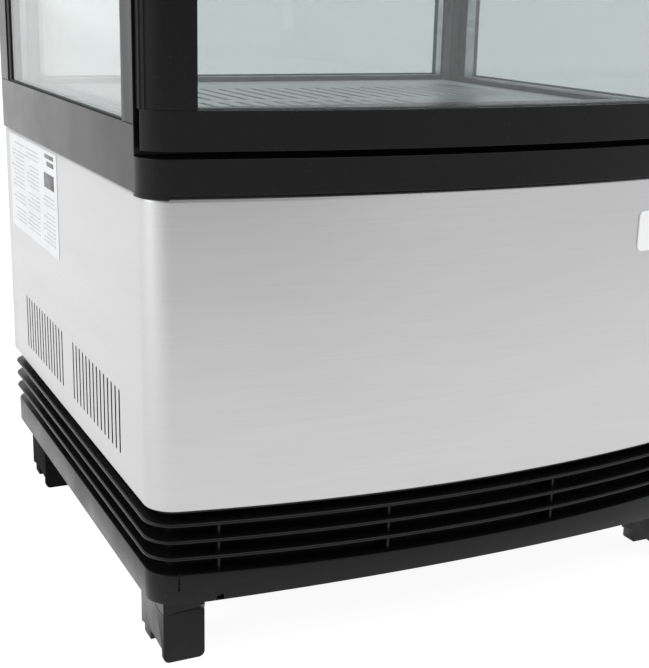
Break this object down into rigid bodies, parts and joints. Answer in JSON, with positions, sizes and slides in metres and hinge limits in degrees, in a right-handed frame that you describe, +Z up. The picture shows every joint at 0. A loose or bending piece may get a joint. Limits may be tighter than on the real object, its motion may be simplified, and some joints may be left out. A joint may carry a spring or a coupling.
{
  "type": "glass door merchandiser",
  "caption": "Countertop refrigerated display with a bowed glass door, glass sides, brushed steel lower housing and louvred black base on feet.",
  "frame": {"origin": "bottom centre of the bounding box, on the plane under the feet", "axes": "+X to the right seen from the front, -Y towards the door's front, +Z up"},
  "size_m": [0.434, 0.419, 0.88],
  "materials": {
    "black_moulding": "semi-gloss moulded",
    "brushed_stainless": "horizontal brushed grain",
    "plated_steel": "bright zinc plated",
    "shelf_wire": "polished chrome plated wire",
    "galvanised_sheet": "dull metallic",
    "painted_panel": "satin black powder coat",
    "dark_plastic": "matt moulded",
    "rubber": "matt",
    "clear_glass": "clear double glazing",
    "white_liner": "smooth liner",
    "foam_box": "moulded foam",
    "floor_sheet": "punched sheet",
    "copper": "bright tube",
    "light_diffuser": "opal",
    "badge_plastic": "gloss",
    "label_film": "matt film"
  },
  "bodies": {
    "cabinet": {"base_tray": "black_moulding", "louvre_skirt": "black_moulding", "foot_front_left": "black_moulding", "foot_front_right": "black_moulding", "foot_rear_left": "black_moulding", "foot_rear_right": "black_moulding", "chassis_plate": "galvanised_sheet", "steel_wrap": "brushed_stainless", "rear_service_panel": "painted_panel", "rear_panel_screws": "plated_steel", "fascia_band": "black_moulding", "badge": "badge_plastic", "rating_label": "label_film", "compressor": "painted_panel", "compressor_grommets": "rubber", "compressor_relay_box": "dark_plastic", "condenser_coil": "galvanised_sheet", "condenser_shroud": "dark_plastic", "condenser_fan_motor": "galvanised_sheet", "refrigerant_pipes": "copper", "condensate_pan": "dark_plastic", "drain_tube": "white_liner", "evaporator_box": "foam_box", "evaporator_coil": "galvanised_sheet", "evaporator_fan_motor": "galvanised_sheet", "control_box": "galvanised_sheet", "cord_gland": "black_moulding", "cabinet_floor": "white_liner", "floor_grille": "floor_sheet", "post_front_left": "black_moulding", "post_front_right": "black_moulding", "post_rear_left": "black_moulding", "post_rear_right": "black_moulding", "side_glass_left": "clear_glass", "side_glass_right": "clear_glass", "rear_glass": "clear_glass", "glazing_spacers": "galvanised_sheet", "glazing_gaskets": "rubber", "shelf_upper": "shelf_wire", "shelf_lower": "shelf_wire", "shelf_clips": "plated_steel", "led_strips": "light_diffuser", "canopy_frame": "black_moulding", "canopy_wrap": "brushed_stainless", "canopy_lid": "black_moulding", "ceiling_panel": "white_liner", "hinge_plate_lower": "plated_steel", "hinge_plate_upper": "plated_steel"},
    "door": {"door_stile_left": "black_moulding", "door_stile_right": "black_moulding", "door_rail_bottom": "black_moulding", "door_rail_top": "black_moulding", "door_glass": "clear_glass", "door_spacer": "galvanised_sheet", "door_gasket": "rubber", "door_bushes": "white_liner"},
    "condenser_fan": {"condenser_fan": "dark_plastic"},
    "evaporator_fan": {"evaporator_fan": "dark_plastic"},
    "thermostat_knob": {"thermostat_knob": "black_moulding"},
    "light_rocker": {"light_rocker": "black_moulding"}
  },
  "joints": [
    {"name": "door_hinge", "type": "hinge", "parent": "cabinet", "child": "door", "pos_m": [0.206, -0.179, 0.319], "axis": [0, 0, 1], "range_deg": [0, 110]},
    {"name": "condenser_fan_spin", "type": "hinge", "parent": "cabinet", "child": "condenser_fan", "pos_m": [0.105, -0.09, 0.138], "axis": [0, 1, 0], "continuous": true},
    {"name": "evaporator_fan_spin", "type": "hinge", "parent": "cabinet", "child": "evaporator_fan", "pos_m": [0.1, 0.03, 0.27], "axis": [0, 0, 1], "continuous": true},
    {"name": "thermostat_turn", "type": "hinge", "parent": "cabinet", "child": "thermostat_knob", "pos_m": [0.15, 0.1995, 0.258], "axis": [0, 1, 0], "range_deg": [0, 270]},
    {"name": "light_switch", "type": "hinge", "parent": "cabinet", "child": "light_rocker", "pos_m": [0.1, 0.196, 0.258], "axis": [1, 0, 0], "range_deg": [0, 14]}
  ]
}
